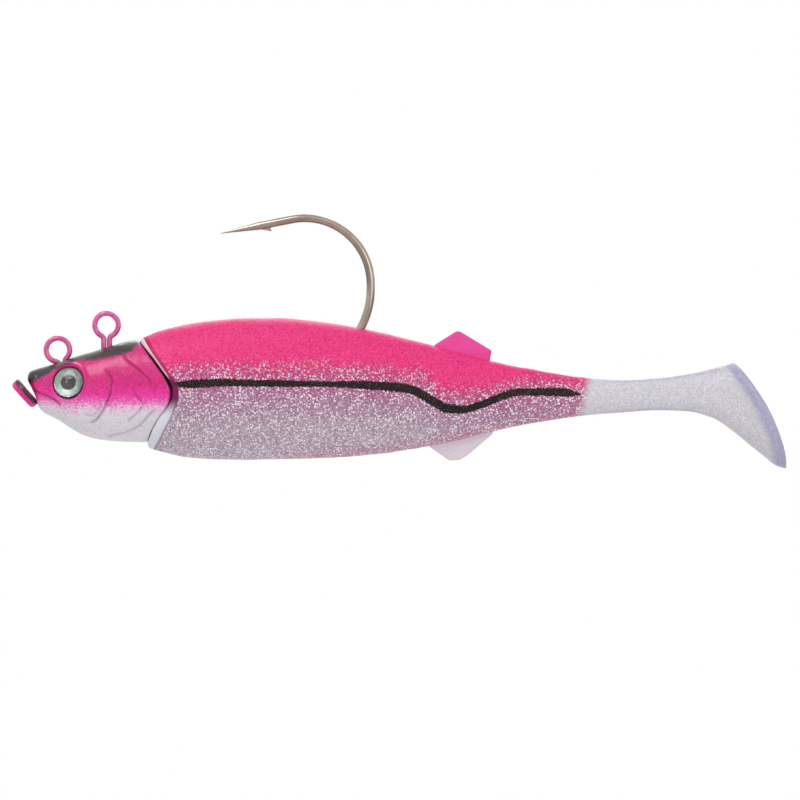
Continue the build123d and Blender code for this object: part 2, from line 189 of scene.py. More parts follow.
class ShadColours(bpy.types.PropertyGroup):
    back_paint: colour_property("Back paint", "Dark strip along the head's back", 38, 26, 34)
    side_paint: colour_property("Side paint", "Hot pink of the head's side", 244, 40, 160)
    belly_paint: colour_property("Belly paint", "Pearl white under the head", 236, 224, 234)
    wire_paint: colour_property("Wire paint", "Pink on the two eyelets", 214, 70, 148)
    body_pink: colour_property("Body pink", "Back of the soft body", 244, 62, 138)
    body_lilac: colour_property("Body lilac", "Tint below the side line", 176, 128, 160)
    body_silver: colour_property("Body silver", "Belly of the soft body", 196, 182, 196)
    tail_pearl: colour_property("Tail pearl", "Clear pearl of the tail", 214, 212, 220)
    # Painted shade: darker lavender along the tail's outline and the paddle's rear face.
    edge_shade_lavender: colour_property("Rim lavender", "Thin edges of the tail and the front lip", 176, 174, 202)
    side_line: colour_property("Side line", "Line along the side", 30, 17, 20)
    hook_metal: colour_property("Hook metal", "Plating of the hook", 172, 160, 148)
    iris: colour_property("Iris", "Foil of the eyes", 216, 220, 216)


def sizes():
    return bpy.context.scene.shad_sizes


def linear(colour):
    """A colour as it is written turned into the light value that the shader takes."""
    return tuple(c / 12.92 if c <= 0.04045 else ((c + 0.055) / 1.055) ** 2.4 for c in colour) + (1.0,)


def paint(name):
    return linear(getattr(bpy.context.scene.shad_colours, name))


def written(red, green, blue):
    return linear((red / 255, green / 255, blue / 255))


# ---------------------------------------------------------------- mesh tools


def smooth(at, knots, values):
    """Values at the given places on a smooth curve through the knots that never overshoots them."""
    knots, values = np.asarray(knots, float), np.asarray(values, float)
    at = np.clip(np.asarray(at, float), knots[0], knots[-1])
    steps = np.diff(knots)
    slopes = np.diff(values) / steps
    tangents = np.concatenate([slopes[:1], np.zeros(len(knots) - 2), slopes[-1:]])
    same_way = slopes[:-1] * slopes[1:] > 0
    total = np.where(same_way, slopes[:-1] + slopes[1:], 1)
    tangents[1:-1] = np.where(same_way, 2 * slopes[:-1] * slopes[1:] / total, 0)
    i = np.clip(np.searchsorted(knots, at, side="right") - 1, 0, len(knots) - 2)
    t = (at - knots[i]) / steps[i]
    start = (1 + 2 * t) * (1 - t) ** 2 * values[i] + t * (1 - t) ** 2 * steps[i] * tangents[i]
    return start + t * t * (3 - 2 * t) * values[i + 1] + t * t * (t - 1) * steps[i] * tangents[i + 1]


def table(at, rows, column=1):
    rows = np.asarray(rows, float)
    return smooth(at, rows[:, 0], rows[:, column])


def ease(low, high, value):
    """0 below low, 1 above high and smooth between; low may be the larger of the two."""
    t = np.clip((np.asarray(value, float) - low) / (high - low), 0, 1)
    return t * t * (3 - 2 * t)


def power(value, exponent):
    return np.sign(value) * np.abs(value) ** exponent


def section_angles(count, squareness):
    """Up and side shares of points round a section, from the top down the left side and up the right."""
    turn = np.arange(count) * 2 * pi / count
    return power(np.cos(turn), 2 / squareness), -power(np.sin(turn), 2 / squareness)


def grid_normals(grid):
    """Outward normals of a grid of rings, taken from its neighbours."""
    along = np.gradient(grid, axis=0)
    around = np.roll(grid, -1, axis=1) - np.roll(grid, 1, axis=1)
    normals = np.cross(around, along)
    return normals / np.maximum(np.linalg.norm(normals, axis=2, keepdims=True), 1e-12)


def grid_faces(rings, columns, first=0):
    """Quads between rings of points that close on themselves."""
    ring, column = np.meshgrid(np.arange(rings - 1), np.arange(columns), indexing="ij")
    nxt = (column + 1) % columns
    quads = np.stack([ring * columns + column, ring * columns + nxt, (ring + 1) * columns + nxt,
                      (ring + 1) * columns + column], axis=-1)
    return [tuple(int(i) + first for i in q) for q in quads.reshape(-1, 4)]


def cap_faces(start, columns, centre, flip):
    """A fan from one ring to a centre point."""
    fan = [(start + i, start + (i + 1) % columns, centre) for i in range(columns)]
    return [tuple(reversed(f)) for f in fan] if flip else fan


def closed_grid(grid):
    """Points and faces of a grid of rings, shut with a fan at both ends."""
    columns, count = grid.shape[1], grid.size // 3
    points = np.concatenate([grid.reshape(-1, 3), [grid[0].mean(axis=0)], [grid[-1].mean(axis=0)]])
    faces = grid_faces(len(grid), columns)
    faces += cap_faces(0, columns, count, True) + cap_faces(count - columns, columns, count + 1, False)
    return points, faces


def build_mesh(name, points, faces, attributes=None, normals=None):
    """A smooth mesh object from points in millimetres, which also keeps where each point was at rest."""
    points = np.asarray(points, float).reshape(-1, 3)
    mesh = bpy.data.meshes.new(name)
    mesh.from_pydata((points * MM).tolist(), [], faces)
    mesh.polygons.foreach_set("use_smooth", [True] * len(mesh.polygons))
    rest = mesh.attributes.new("rest", "FLOAT_VECTOR", "POINT")
    rest.data.foreach_set("vector", points.astype(np.float32).ravel())
    for key, values in (attributes or {}).items():
        layer = mesh.attributes.new(key, "FLOAT", "POINT")
        layer.data.foreach_set("value", np.asarray(values, np.float32).ravel())
    mesh.validate()
    mesh.update()
    if normals is not None:
        mesh.normals_split_custom_set_from_vertices(np.asarray(normals, float).reshape(-1, 3).tolist())
    piece = bpy.data.objects.new(name, mesh)
    bpy.context.collection.objects.link(piece)
    return piece


def ripple(points, scale, seed):
    """Gentle unevenness, about -1 to 1, at each point; scale is the size of the waves in millimetres."""
    shift = Vector((seed, seed * 0.7, -seed))
    flat = points.reshape(-1, 3) / scale
    values = [noise.noise(Vector(p) + shift) for p in flat]
    return np.array(values).reshape(points.shape[:-1])


def curve_distance(x, z, knots):
    """Distance in side view from a smooth line, positive on its left, and how far along it."""
    knots = np.asarray(knots, float)
    steps = np.linspace(0, len(knots) - 1, 14 * (len(knots) - 1) + 1)
    line_x = smooth(steps, np.arange(len(knots)), knots[:, 0])
    line_z = smooth(steps, np.arange(len(knots)), knots[:, 1])
    best = np.full(x.shape, 1e9)
    signed, along = np.zeros(x.shape), np.zeros(x.shape)
    for i in range(len(steps) - 1):
        dx, dz = line_x[i + 1] - line_x[i], line_z[i + 1] - line_z[i]
        t = np.clip(((x - line_x[i]) * dx + (z - line_z[i]) * dz) / (dx * dx + dz * dz), 0, 1)
        off_x, off_z = x - line_x[i] - t * dx, z - line_z[i] - t * dz
        gap = np.hypot(off_x, off_z)
        nearer = gap < best
        best = np.where(nearer, gap, best)
        signed = np.where(nearer, gap * np.sign(dx * off_z - dz * off_x), signed)
        along = np.where(nearer, (i + t) / (len(steps) - 1), along)
    return signed, along


# ---------------------------------------------------------------- material tools


class Graph:
    """Short calls that build one material's node tree."""

    def __init__(self, name):
        self.material = bpy.data.materials.new(name)
        self.material.use_nodes = True
        self.tree = self.material.node_tree
        self.tree.nodes.clear()
        self.surface = self.node("ShaderNodeBsdfPrincipled")
        output = self.node("ShaderNodeOutputMaterial")
        self.tree.links.new(self.surface.outputs[0], output.inputs["Surface"])

    def node(self, kind, **settings):
        made = self.tree.nodes.new(kind)
        for key, value in settings.items():
            setattr(made, key, value)
        return made

    def feed(self, socket, value):
        if isinstance(value, bpy.types.NodeSocket):
            self.tree.links.new(value, socket)
        else:
            socket.default_value = value

    def attribute(self, name, vector=False):
        found = self.node("ShaderNodeAttribute", attribute_name=name)
        return found.outputs["Vector" if vector else "Fac"]

    def math(self, operation, first, second=0.0, third=0.0, clamp=False):
        made = self.node("ShaderNodeMath", operation=operation, use_clamp=clamp)
        for socket, value in zip(made.inputs, (first, second, third)):
            self.feed(socket, value)
        return made.outputs[0]

    def vector(self, operation, first, second=(0, 0, 0), scale=1.0):
        made = self.node("ShaderNodeVectorMath", operation=operation)
        self.feed(made.inputs[0], first)
        if operation == "SCALE":
            self.feed(made.inputs["Scale"], scale)
        else:
            self.feed(made.inputs[1], second)
        return made.outputs["Value" if operation in ("LENGTH", "DISTANCE", "DOT_PRODUCT") else "Vector"]

    def step(self, low, high, value):
        """0 below low, 1 above high, smooth between."""
        made = self.node("ShaderNodeMapRange", interpolation_type="SMOOTHSTEP")
        for key, given in (("Value", value), ("From Min", low), ("From Max", high)):
            self.feed(made.inputs[key], given)
        return made.outputs["Result"]

    def mix(self, share, first, second, blend="MIX"):
        made = self.node("ShaderNodeMix", data_type="RGBA", blend_type=blend)
        self.feed(made.inputs[0], share)
        self.feed(made.inputs[6], first)
        self.feed(made.inputs[7], second)
        return made.outputs[2]

    def ramp(self, value, stops):
        made = self.node("ShaderNodeValToRGB")
        while len(made.color_ramp.elements) < len(stops):
            made.color_ramp.elements.new(0.5)
        for element, (place, colour) in zip(made.color_ramp.elements, stops):
            element.position = place
            element.color = colour
        self.feed(made.inputs[0], value)
        return made.outputs["Color"]

    def noise(self, where, size, detail=2.0, roughness=0.5):
        """Soft noise from 0 to 1; size is the width of its blots in the units of where."""
        made = self.node("ShaderNodeTexNoise")
        self.feed(made.inputs["Vector"], where)
        made.inputs["Scale"].default_value = 1 / size
        made.inputs["Detail"].default_value = detail
        made.inputs["Roughness"].default_value = roughness
        return made.outputs["Fac"]

    def cells(self, where, size):
        """Distance to the nearest flake and that flake's random colour."""
        made = self.node("ShaderNodeTexVoronoi")
        self.feed(made.inputs["Vector"], where)
        made.inputs["Scale"].default_value = 1 / size
        return made.outputs["Distance"], made.outputs["Color"]

    def channels(self, colour):
        made = self.node("ShaderNodeSeparateColor")
        self.feed(made.inputs[0], colour)
        return made.outputs[0], made.outputs[1], made.outputs[2]

    def bump(self, height, distance, strength=1.0, normal=None):
        made = self.node("ShaderNodeBump")
        made.inputs["Distance"].default_value = distance
        made.inputs["Strength"].default_value = strength
        self.feed(made.inputs["Height"], height)
        if normal is not None:
            self.feed(made.inputs["Normal"], normal)
        return made.outputs["Normal"]

    def set(self, **values):
        """Values on the surface shader's own sockets, by name with _ for a space."""
        for key, value in values.items():
            self.feed(self.surface.inputs[key.replace("_", " ")], value)
        return self.material


def tilted_flakes(graph, colour, share, strength):
    """The surface normal, turned at random on each flake so that flakes catch the light one by one."""
    off = graph.vector("SUBTRACT", colour, (0.5, 0.5, 0.5))
    off = graph.vector("SCALE", off, scale=graph.math("MULTIPLY", share, strength))
    geometry = graph.node("ShaderNodeNewGeometry")
    return graph.vector("NORMALIZE", graph.vector("ADD", geometry.outputs["Normal"], off))


# ---------------------------------------------------------------- materials


def soft_plastic():
    """Glitter-filled soft plastic: pink back, silver belly, black side line and pearl tail."""
    g = Graph("glitter_soft_plastic")
    rest = g.attribute("rest", vector=True)
    above = g.attribute("above_line")
    line = g.attribute("line_edge")
    tail = g.attribute("tail")
    rim = g.attribute("rim")
    lip = g.attribute("lip")
    low = g.attribute("low_edge")
    fin = g.attribute("fin")
    flake_mm = sizes().flake / MM

    cloud = g.noise(rest, 5.5, 3.0)
    grain = g.noise(rest, 0.9, 3.0, 0.7)
    near, flake = g.cells(rest, flake_mm)
    chance, _, spread = g.channels(flake)
    fine_near, fine = g.cells(rest, flake_mm * 0.6)
    fine_chance, fine_shine, fine_spread = g.channels(fine)

    # Height above the side line, made uneven so that the bands of colour mingle.
    wander = g.math("MULTIPLY_ADD", g.math("SUBTRACT", fine_spread, 0.5), 4.5, above)
    wander = g.math("MULTIPLY_ADD", g.math("SUBTRACT", cloud, 0.5), 5.0, wander)
    height = g.math("MULTIPLY_ADD", wander, 1 / 40, 0.6, clamp=True)
    base = g.ramp(height, (
        (0.06, paint("body_silver")), (0.3, written(190, 168, 184)), (0.46, paint("body_lilac")),
        (0.6, written(184, 90, 140)), (0.7, written(214, 54, 122)), (0.78, paint("body_pink")),
    ))
    base = g.mix(g.math("MULTIPLY", low, 0.6), base, written(206, 130, 162))
    base = g.mix(tail, base, paint("tail_pearl"))
    # Painted shade along the tail's outline and rear face, in darker lavender.
    base = g.mix(rim, base, paint("edge_shade_lavender"))

    # Share of the back's pink, of bright flakes and of dark gaps between them; the flakes' brightness is
    # partly painted sparkle.
    pink = g.math("MULTIPLY", g.step(0.66, 0.8, height), g.math("SUBTRACT", 1.0, tail))
    plain = g.math("SUBTRACT", 1.0, g.math("MAXIMUM", lip, g.math("MULTIPLY", rim, 0.6)))
    pale = g.math("SUBTRACT", 1.0, pink)
    round_flake = g.step(0.5, 0.34, near)
    round_fine = g.step(0.55, 0.36, fine_near)
    enough = g.math("MULTIPLY_ADD", g.step(0.35, 0.65, cloud), -0.22, 0.62)
    big = g.math("MULTIPLY", round_flake, g.math("GREATER_THAN", chance, enough))
    big = g.math("MULTIPLY", big, g.math("MULTIPLY", plain, g.math("MULTIPLY_ADD", tail, -0.5, 1.0)))
    big_share = g.math("MULTIPLY", big, g.math("MULTIPLY_ADD", pink, -0.8, 0.95))
    tiny = g.math("MULTIPLY", round_fine, g.math("GREATER_THAN", fine_chance, 0.55))
    tiny = g.math("MULTIPLY", tiny, plain)
    tiny_share = g.math("MULTIPLY", tiny, g.math("MULTIPLY_ADD", pink, -0.15, 0.5))
    gaps = g.math("MULTIPLY", g.math("GREATER_THAN", fine_shine, 0.62), plain)
    gap_share = g.math("MULTIPLY", gaps, g.math("MULTIPLY_ADD", tail, -0.25, 0.5))
    gap_colour = g.mix(pink, written(132, 82, 116), written(206, 10, 92))
    gap_colour = g.mix(tail, gap_colour, written(160, 158, 172))

    # Glitter flake colours: the flakes' own silver and pink, made brighter as painted sparkle.
    glint = g.mix(pink, written(255, 252, 255), written(255, 104, 172))
    glint = g.mix(g.math("MULTIPLY", spread, g.math("MULTIPLY", pale, 0.4)), glint, written(232, 188, 216))
    speck = g.mix(pink, written(246, 232, 242), written(255, 96, 118))
    colour = g.mix(gap_share, base, gap_colour)
    colour = g.mix(tiny_share, colour, speck)
    colour = g.mix(big_share, colour, glint)
    fin_colour = g.mix(tail, written(240, 84, 172), written(236, 228, 236))
    colour = g.mix(g.math("MULTIPLY", fin, 0.75), colour, fin_colour)

    # The front lip: pale where it follows the belly, greying as painted shade where it meets the glitter;
    # dark plum at the seam's point as painted shadow in the gap; and pink above, with a thin painted
    # highlight along its front edge.
    lip_low = g.mix(g.step(0.75, 0.35, lip), written(226, 226, 234), written(160, 150, 172))
    lip_colour = g.mix(g.step(-9.5, -4.0, above), lip_low, written(118, 34, 84))
    lip_high = g.mix(g.step(0.93, 0.99, lip), written(196, 30, 96), written(250, 226, 236))
    lip_colour = g.mix(g.step(1.0, 3.2, above), lip_colour, lip_high)
    colour = g.mix(g.step(0.1, 0.3, lip), colour, lip_colour)

    ragged = g.math("MULTIPLY_ADD", g.math("SUBTRACT", g.noise(rest, 0.55, 2.0, 0.7), 0.5), 1.5, line)
    in_line = g.math("MULTIPLY", g.step(0.1, -0.1, ragged), g.math("SUBTRACT", 1.0, lip))
    # Glitter in the side line, lighter as painted glints.
    line_glitter_glint = g.math("MULTIPLY", g.math("GREATER_THAN", fine_chance, 0.78), round_fine)
    line_colour = g.mix(line_glitter_glint, paint("side_line"), written(92, 74, 66))
    colour = g.mix(in_line, colour, line_colour)

    flakes = g.math("MAXIMUM", big_share, tiny_share)
    flakes = g.math("MULTIPLY", flakes, g.math("SUBTRACT", 1.0, in_line))
    normal = tilted_flakes(g, flake, flakes, 0.7)
    normal = g.bump(grain, 0.05 * MM, 0.5, normal)
    return g.set(Base_Color=colour, Normal=normal, Roughness=0.46, IOR=1.4, Specular_IOR_Level=0.3)


def head_paint():
    """Gloss airbrushed paint: dark back, hot pink side, pearl belly and a speckled fade between them."""
    g = Graph("airbrushed_head_paint")
    rest = g.attribute("rest", vector=True)
    back = g.attribute("back")
    belly = g.attribute("belly")
    crease_shade = g.attribute("crease_shade")
    dark = g.attribute("dark")
    cloud = g.noise(rest, 3.4, 3.0)
    near, drop = g.cells(rest, 0.3)
    chance, shine, spread = g.channels(drop)
    soft = g.noise(rest, 0.5, 2.0)

    # Each droplet of paint takes its own place in the fade.
    fade = g.math("MULTIPLY_ADD", g.math("SUBTRACT", cloud, 0.5), 0.16, belly)
    fade = g.math("MULTIPLY_ADD", g.math("SUBTRACT", chance, 0.5), 0.34, fade)
    side = g.ramp(fade, (
        (0.0, written(214, 14, 112)), (0.18, paint("side_paint")), (0.44, written(246, 64, 176)),
        (0.62, written(246, 140, 206)), (0.8, paint("belly_paint")), (1.0, written(230, 224, 232)),
    ))
    dots = g.math("MULTIPLY", g.step(0.5, 0.3, near), g.math("GREATER_THAN", shine, 0.72))
    reach = g.math("MULTIPLY", g.step(0.95, 0.2, belly), 0.5)
    side = g.mix(g.math("MULTIPLY", dots, reach), side, written(128, 10, 84))
    black = g.math("MULTIPLY_ADD", g.math("SUBTRACT", spread, 0.5), 0.5, back)
    black = g.math("MULTIPLY_ADD", g.math("SUBTRACT", soft, 0.5), 0.5, black)
    maroon = g.step(0.08, 0.5, black)
    black = g.step(0.4, 0.8, black)
    colour = g.mix(g.math("MULTIPLY", maroon, 0.75), side, written(126, 8, 66))
    colour = g.mix(black, colour, paint("back_paint"))
    # Painted shade in the cast grooves: deep magenta on the pink side, grey-lavender on the belly.
    groove = g.mix(g.step(0.55, 0.85, belly), written(150, 0, 84), written(158, 152, 178))
    colour = g.mix(g.math("MULTIPLY", crease_shade, 0.7), colour, groove)
    # Painted shadow at the head's rear edge and round the eyes; on the lower lip, the black paint of its
    # hollow with a painted highlight along the rim.
    colour = g.mix(dark, colour, written(30, 12, 24))
    normal = g.bump(g.noise(rest, 0.8, 2.0), 0.04 * MM, 0.35)
    return g.set(Base_Color=colour, Normal=normal, Roughness=0.4, IOR=1.45, Coat_Weight=0.3,
                 Coat_Roughness=0.15)


def wire_paint():
    """Pink paint on round wire, paler in streaks and with darker mist."""
    g = Graph("painted_wire")
    where = g.node("ShaderNodeTexCoord").outputs["Object"]
    streak = g.noise(where, 1.5 * MM, 3.0)
    mist = g.noise(where, 0.3 * MM, 2.0)
    colour = g.mix(g.step(0.35, 0.75, streak), paint("wire_paint"), written(230, 110, 176))
    colour = g.mix(g.math("MULTIPLY", g.step(0.6, 0.75, mist), 0.3), colour, written(130, 30, 90))
    return g.set(Base_Color=colour, Normal=g.bump(mist, 0.03 * MM, 0.5), Roughness=0.28, Coat_Weight=0.8,
                 Coat_Roughness=0.08)


def hook_metal():
    """Warm plated steel with fine drawing marks."""
    g = Graph("plated_hook_steel")
    where = g.node("ShaderNodeTexCoord").outputs["Object"]
    fine = g.noise(where, 0.35 * MM, 3.0)
    broad = g.noise(where, 6 * MM, 2.0)
    colour = g.mix(g.step(0.3, 0.8, broad), paint("hook_metal"), written(150, 136, 122))
    roughness = g.math("MULTIPLY_ADD", fine, 0.14, 0.16)
    return g.set(Base_Color=colour, Metallic=1.0, Roughness=roughness, Normal=g.bump(fine, 0.02 * MM, 0.3))


def eye_frame(side):
    """Centre of one eye's socket floor, and the unit vectors outwards, across it and up it."""
    out = Vector((-tan(EYE_LEAN_FORWARD), side, tan(EYE_LEAN_UP))).normalized()
    centre = Vector((EYE_CENTRE[0], side * EYE_DEPTH, EYE_CENTRE[1]))
    across = Vector((0, 0, 1)).cross(out).normalized()
    return centre, out, across, out.cross(across)


def eye_foil(side):
    """Silver foil with a dark pupil, brushed outwards from it."""
    g = Graph("eye_foil_left_print" if side < 0 else "eye_foil_right_print")
    centre, _, across, up = eye_frame(side)
    where = g.vector("SUBTRACT", g.node("ShaderNodeTexCoord").outputs["Object"], tuple(centre * MM))
    flat_x = g.vector("DOT_PRODUCT", where, tuple(across))
    flat_y = g.vector("DOT_PRODUCT", where, tuple(up))
    square = g.math("MULTIPLY_ADD", flat_x, flat_x, g.math("MULTIPLY", flat_y, flat_y))
    radius = g.math("DIVIDE", g.math("SQRT", square), EYE_R * MM)
    turn = g.math("ARCTAN2", flat_y, flat_x)
    ray = g.node("ShaderNodeCombineXYZ")
    g.feed(ray.inputs[0], turn)
    rays = g.noise(ray.outputs[0], 0.05, 2.0)
    blots = g.noise(where, 1.1 * MM, 3.0)
    silver = g.mix(g.step(0.3, 0.7, blots), paint("iris"), written(176, 196, 184))
    silver = g.mix(g.math("MULTIPLY", g.step(0.4, 0.8, rays), 0.35), silver, written(120, 132, 126))
    colour = g.mix(g.step(0.52, 0.47, radius), silver, written(58, 44, 56))
    # Painted shadow: a dark ring round the foil's edge.
    colour = g.mix(g.step(0.93, 0.99, radius), colour, written(40, 20, 34))
    metal = g.math("MULTIPLY", g.step(0.47, 0.52, radius), 0.55)
    return g.set(Base_Color=colour, Metallic=metal, Roughness=0.35)


def clear_resin():
    g = Graph("clear_eye_resin")
    where = g.node("ShaderNodeTexCoord").outputs["Object"]
    faint = g.noise(where, 2.5 * MM, 2.0)
    colour = g.mix(faint, written(255, 255, 255), written(244, 250, 248))
    return g.set(Base_Color=colour, Transmission_Weight=1.0, IOR=1.45, Roughness=0.02,
                 Normal=g.bump(faint, 0.02 * MM, 0.2))


def floor_finish(centre, reach):
    """Pale ground: plain white to the camera far off, and partly lit near by so that the shadow stays."""
    material = bpy.data.materials.new("pale_floor")
    material.use_nodes = True
    tree = material.node_tree
    tree.nodes.clear()
    diffuse = tree.nodes.new("ShaderNodeBsdfDiffuse")
    diffuse.inputs["Color"].default_value = (0.86, 0.86, 0.86, 1)
    glow = tree.nodes.new("ShaderNodeEmission")
    glow.inputs["Strength"].default_value = 1.0
    path = tree.nodes.new("ShaderNodeLightPath")
    where = tree.nodes.new("ShaderNodeTexCoord")
    off = tree.nodes.new("ShaderNodeVectorMath")
    off.operation = "DISTANCE"
    off.inputs[1].default_value = centre
    far = tree.nodes.new("ShaderNodeMapRange")
    far.interpolation_type = "SMOOTHSTEP"
    for key, value in (("From Min", reach), ("From Max", reach * 2.6), ("To Min", 0.82), ("To Max", 1.0)):
        far.inputs[key].default_value = value
    share = tree.nodes.new("ShaderNodeMath")
    share.operation = "MULTIPLY"
    tree.links.new(where.outputs["Object"], off.inputs[0])
    tree.links.new(off.outputs["Value"], far.inputs["Value"])
    tree.links.new(far.outputs["Result"], share.inputs[1])
    mix = tree.nodes.new("ShaderNodeMixShader")
    output = tree.nodes.new("ShaderNodeOutputMaterial")
    tree.links.new(path.outputs["Is Camera Ray"], share.inputs[0])
    tree.links.new(share.outputs[0], mix.inputs[0])
    tree.links.new(diffuse.outputs[0], mix.inputs[1])
    tree.links.new(glow.outputs[0], mix.inputs[2])
    tree.links.new(mix.outputs[0], output.inputs[0])
    return material


# ---------------------------------------------------------------- the head


def head_profile(x):
    return table(x, HEAD_TOP), table(x, HEAD_BOTTOM), table(x, HEAD_WIDTH)


def head_surface(x, up, side):
    """Points on the head's plain surface at each place along it."""
    top, bottom, width = head_profile(x)
    z = (top + bottom) / 2 + up * (top - bottom) / 2
    y = side * width * (1 + 0.08 * up)
    return np.stack([x, y, z], axis=-1)


def follow_edge(share, start, edge_rows, surface, up, side):
    """Points between a start place (share 0) and an edge whose place depends on its height (share 1)."""
    x = np.full(up.shape, float(start))
    for _ in range(8):
        z = surface(x, up, side)[..., 2]
        x = start + share * (table(z, edge_rows) - start)
    return surface(x, up, side)


def inward(points, middle_z, width, half_height):
    """Directions that point into a section from its surface, level with it."""
    across, up = -points[:, 1] / width**2, -(points[:, 2] - middle_z) / half_height**2
    flat = np.stack([np.zeros(len(points)), across, up], axis=-1)
    return flat / np.maximum(np.linalg.norm(flat, axis=1, keepdims=True), 1e-9)


def keeper_ring(x, radius, columns):
    turn = np.arange(columns) * 2 * pi / columns
    y, z = -radius * np.sin(turn), KEEPER_Z + radius * np.cos(turn)
    return np.stack([np.full(columns, x), y, z], axis=-1)


def relief_of(x, z, knots, raise_ahead, groove, width, taper=0.12):
    """Height added by one cast line: a plate edge on its left side and a groove along it."""
    signed, along = curve_distance(x, z, knots)
    ends = ease(0, taper, along) * ease(1, 1 - taper, along)
    plate = np.where(signed > 0, np.exp(-signed / 2.2), 0) * raise_ahead
    cut = np.exp(-((signed / width) ** 2)) * groove
    beyond = np.where((along <= 0) | (along >= 1), 0, 1)
    return (plate - cut) * ends * beyond, cut * ends * beyond


def head_relief(points):
    """Relief of the whole cheek in millimetres, and how far each point lies in a cast groove, where the
    paint is darkened as painted shade.
    """
    x, y, z = points[..., 0], points[..., 1], points[..., 2]
    depth = sizes().relief / MM
    total, crease_shade = np.zeros(x.shape), np.zeros(x.shape)
    lines = (
        (GILL_COVER, -0.9, 1.0, 0.34), (GILL_INNER, 0.5, 0.6, 0.32), (FIN_CHEVRON_TOP, 0.6, 0.8, 0.3),
        (FIN_CHEVRON_FOOT, 0.6, 0.8, 0.3), (SHOULDER_LINE, 0.6, 0.8, 0.36), (THROAT_LINE, 0.7, 0.7, 0.34),
        (JAW_LINE, 1.1, 1.1, 0.4),
    )
    for knots, plate, groove, width in lines:
        height, cut = relief_of(x, z, knots, plate, groove, width)
        total += height
        crease_shade = np.maximum(crease_shade, cut)
    flank = ease(0.0, 2.5, np.abs(y))
    return total * depth * flank, np.clip(crease_shade, 0, 1) * flank


def eye_relief(points):
    """The raised ring round each eye and the socket sunk inside it, and how far inside it a point is."""
    total, inside = np.zeros(points.shape[:-1]), np.zeros(points.shape[:-1])
    for side in (-1, 1):
        centre, _, across, up = (np.array(v) for v in eye_frame(side))
        off = points - centre
        radius = np.hypot(off @ across, off @ up)
        here = (points[..., 1] * side > 0).astype(float)
        brow = 0.4 + 0.6 * ease(-3, 3, off @ up - 0.4 * side * (off @ across))
        ring = np.exp(-(((radius - EYE_R - 0.95) / 0.62) ** 2)) * 1.0 * brow
        sunk = ease(EYE_R + 0.25, EYE_R - 0.05, radius)
        total += (ring - sunk * 1.9) * here
        inside = np.maximum(inside, ease(EYE_R + 0.42, EYE_R + 0.1, radius) * here)
    return total, inside


def head_grid():
    """Rings of the casting from the snout, round the rear edge, down the rear wall and along the keeper."""
    detail = sizes().head_detail / MM
    columns = int(64 / detail / 1.15)
    up, side = section_angles(columns, 2.15)
    snout = HEAD_TOP[0][0]
    first = head_surface(np.full(columns, snout), up, side)
    tip = first.mean(axis=0) + np.array([-0.15, 0, 0])
    rings = [tip + (first - tip) * share for share in (0.02, 0.3, 0.6, 0.85)]
    count = int(40 / detail)
    for i in range(count + 1):
        share = (i / count) ** 1.35
        rings.append(follow_edge(share, snout, HEAD_EDGE, head_surface, up, side))
    edge = rings[-1]
    top, bottom, width = head_profile(edge[:, 0])
    into = inward(edge, (top + bottom) / 2, width, (top - bottom) / 2)
    rounding = table(edge[:, 2], HEAD_ROUNDING)
    painted = len(rings)
    for angle in np.linspace(0, pi / 2, 9)[1:]:
        ring = edge + into * (1.1 * (1 - cos(angle)) * np.minimum(rounding, 1.1)[:, None])
        ring[:, 0] += rounding * sin(angle)
        rings.append(ring)
    rim = rings[-1]
    collar = keeper_ring(KEEPER_PROFILE[0][0] + 2, KEEPER_PROFILE[0][1], columns)
    rings += [rim + (collar - rim) * share for share in (0.15, 0.4, 0.7, 1.0)]
    rings += [keeper_ring(x, radius, columns) for x, radius in KEEPER_PROFILE[1:]]
    return np.array(rings), painted


def head_masks(grid, painted):
    """Where the dark back and the white belly lie, and the painted shadow on the rear edge and the wall
    behind it.
    """
    x, z = grid[..., 0], grid[..., 2]
    top = table(x, HEAD_TOP)
    strip = table(x, BACK_STRIP)
    depth = top - z
    back = ease(1.1, -1.1, depth - strip)
    belly = ease(-15.5, -28.5, z)
    belly = np.clip(belly + 0.25 * ease(-12, -19, x) * ease(-20, -24.5, z), 0, 1)
    # Painted shadow: the rear edge's rounding and the wall behind it are darkened, most of all above, where
    # the gap to the soft body lies in shade.
    ring = np.arange(len(grid))[:, None] - painted
    behind = np.clip(ring / 3, 0, 1) * np.ones_like(z)
    upper = ease(-20.5, -17.5, z)
    dark = behind * (0.08 + 0.92 * upper)
    return back, belly, dark


def head_piece():
    grid, painted = head_grid()
    outside = (np.arange(len(grid)) < painted)[:, None]
    normals = grid_normals(grid)
    relief, crease_shade = head_relief(grid)
    eyes, socket = eye_relief(grid)
    relief = np.where(outside, relief * (1 - socket) + eyes, 0)
    wave = ripple(grid, 2.6, 11.0) * 0.05
    grid = grid + normals * np.where(outside, relief + wave, 0)[..., None]
    back, belly, dark = head_masks(grid, painted)
    # Painted shade round each eye: the socket inside the raised ring is darkened.
    dark = np.maximum(dark, socket * 0.85 * outside)
    points, faces = closed_grid(grid)
    masks = {"back": back, "belly": belly, "crease_shade": crease_shade * outside, "dark": dark}
    masks = {k: np.concatenate([v.ravel(), [v.ravel()[0], v.ravel()[-1]]]) for k, v in masks.items()}
    return points, faces, masks


